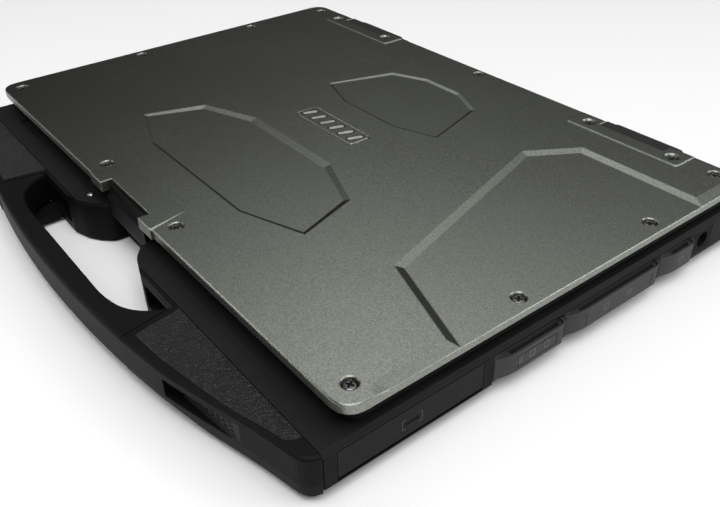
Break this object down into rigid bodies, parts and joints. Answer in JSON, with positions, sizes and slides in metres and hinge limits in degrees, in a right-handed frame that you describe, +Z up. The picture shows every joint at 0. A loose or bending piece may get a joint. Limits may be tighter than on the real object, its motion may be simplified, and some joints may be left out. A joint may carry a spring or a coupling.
{
  "type": "laptop computer",
  "caption": "Closed semi-rugged laptop computer with a painted metal lid, corner bumpers, a carry handle in front of the lid latch, and hinged rubber covers over its side sockets.",
  "frame": {"origin": "on the table, under the middle of the closed computer", "axes": "+X to the right of the person using it, +Y from the carry handle towards the hinges, +Z up"},
  "size_m": [0.3484, 0.2929, 0.0349],
  "materials": {
    "lid_paint": "satin",
    "plate_metal": "satin",
    "case_plastic": "matte",
    "textured_plastic": "matte",
    "rubber": "matte",
    "screen_face": "gloss",
    "hinge_metal": "matte",
    "dark_metal": "satin",
    "socket_metal": "satin",
    "module_shell": "matte",
    "circuit_board": "satin",
    "copper": "satin"
  },
  "bodies": {
    "base": {"hinge_bracket_left": "hinge_metal", "hinge_bracket_right": "hinge_metal", "base_bottom_case": "case_plastic", "base_top_cover": "case_plastic", "touchpad": "textured_plastic", "keyboard_mat": "rubber", "motherboard": "circuit_board", "storage_drive": "circuit_board", "heat_pipe": "copper", "fan_housing": "case_plastic", "vent_grille": "case_plastic", "right_sockets": "socket_metal", "left_sockets": "socket_metal", "dc_jack": "rubber", "latch_catch": "socket_metal", "carry_handle": "case_plastic", "front_bumper_left": "case_plastic", "front_bumper_right": "case_plastic", "bumper_plate_left": "textured_plastic", "bumper_plate_right": "textured_plastic", "speaker_grille_left": "dark_metal", "speaker_grille_right": "dark_metal", "rubber_foot_1": "rubber", "rubber_foot_2": "rubber", "rubber_foot_3": "rubber", "rubber_foot_4": "rubber"},
    "lid": {"lid_cover": "lid_paint", "nameplate": "plate_metal", "lid_bezel": "case_plastic", "screen_panel": "screen_face", "webcam": "rubber", "hinge_knuckle_left": "hinge_metal", "hinge_knuckle_right": "hinge_metal", "lid_screw_1": "dark_metal", "lid_screw_2": "dark_metal", "lid_screw_3": "dark_metal", "lid_screw_4": "dark_metal", "lid_screw_5": "dark_metal", "lid_screw_6": "dark_metal", "lid_screw_7": "dark_metal", "lid_screw_8": "dark_metal", "lid_screw_9": "dark_metal", "lid_screw_10": "dark_metal", "lid_screw_11": "dark_metal", "lid_screw_12": "dark_metal", "lid_screw_13": "dark_metal", "lid_screw_14": "dark_metal", "lid_screw_15": "dark_metal"},
    "latch": {"lid_latch": "case_plastic"},
    "fan": {"fan_rotor": "textured_plastic"},
    "battery": {"battery_pack": "case_plastic"},
    "battery_slider": {"battery_latch": "rubber"},
    "media": {"media_module": "module_shell"},
    "cover_a": {"port_cover_a": "rubber"},
    "cover_b": {"port_cover_b": "rubber"},
    "cover_c": {"port_cover_c": "rubber"},
    "cover_left": {"port_cover_left": "rubber"},
    "click_left": {"touchpad_button_left": "case_plastic"},
    "click_right": {"touchpad_button_right": "case_plastic"},
    "power": {"power_button": "dark_metal"}
  },
  "joints": [
    {"name": "lid_hinge", "type": "hinge", "parent": "base", "child": "lid", "pos_m": [0, 0.138, 0.023], "axis": [-1, 0, 0], "range_deg": [0, 135]},
    {"name": "latch_pivot", "type": "hinge", "parent": "lid", "child": "latch", "pos_m": [0, -0.1022, 0.0311], "axis": [-1, 0, 0], "range_deg": [0, 20], "stiffness_Nm_per_rad": 0.02, "springref_deg": -20.05},
    {"name": "fan_spin", "type": "hinge", "parent": "base", "child": "fan", "pos_m": [-0.127, 0.0975, 0.0125], "axis": [0, 0, 1], "continuous": true},
    {"name": "battery_slide", "type": "slide", "parent": "base", "child": "battery", "axis": [1, 0, 0], "range_m": [0, 0.09]},
    {"name": "battery_latch_slide", "type": "slide", "parent": "base", "child": "battery_slider", "axis": [0, 1, 0], "range_m": [0, 0.008], "stiffness_N_per_m": 100, "springref_m": -0.003},
    {"name": "media_slide", "type": "slide", "parent": "base", "child": "media", "axis": [-1, 0, 0], "range_m": [0, 0.1]},
    {"name": "port_cover_a_hinge", "type": "hinge", "parent": "base", "child": "cover_a", "pos_m": [0.1715, -0.0177, 0.0078], "axis": [0, 1, 0], "range_deg": [0, 90]},
    {"name": "port_cover_b_hinge", "type": "hinge", "parent": "base", "child": "cover_b", "pos_m": [0.1715, 0.0335, 0.0078], "axis": [0, 1, 0], "range_deg": [0, 90]},
    {"name": "port_cover_c_hinge", "type": "hinge", "parent": "base", "child": "cover_c", "pos_m": [0.1715, 0.07825, 0.0078], "axis": [0, 1, 0], "range_deg": [0, 90]},
    {"name": "port_cover_left_hinge", "type": "hinge", "parent": "base", "child": "cover_left", "pos_m": [-0.1715, 0.05325, 0.0078], "axis": [0, -1, 0], "range_deg": [0, 90]},
    {"name": "click_left_press", "type": "slide", "parent": "base", "child": "click_left", "axis": [0, 0, -1], "range_m": [0, 0.0006], "stiffness_N_per_m": 200, "springref_m": -0.001},
    {"name": "click_right_press", "type": "slide", "parent": "base", "child": "click_right", "axis": [0, 0, -1], "range_m": [0, 0.0006], "stiffness_N_per_m": 200, "springref_m": -0.001},
    {"name": "power_press", "type": "slide", "parent": "base", "child": "power", "axis": [0, 0, -1], "range_m": [0, 0.0006], "stiffness_N_per_m": 200, "springref_m": -0.001}
  ]
}
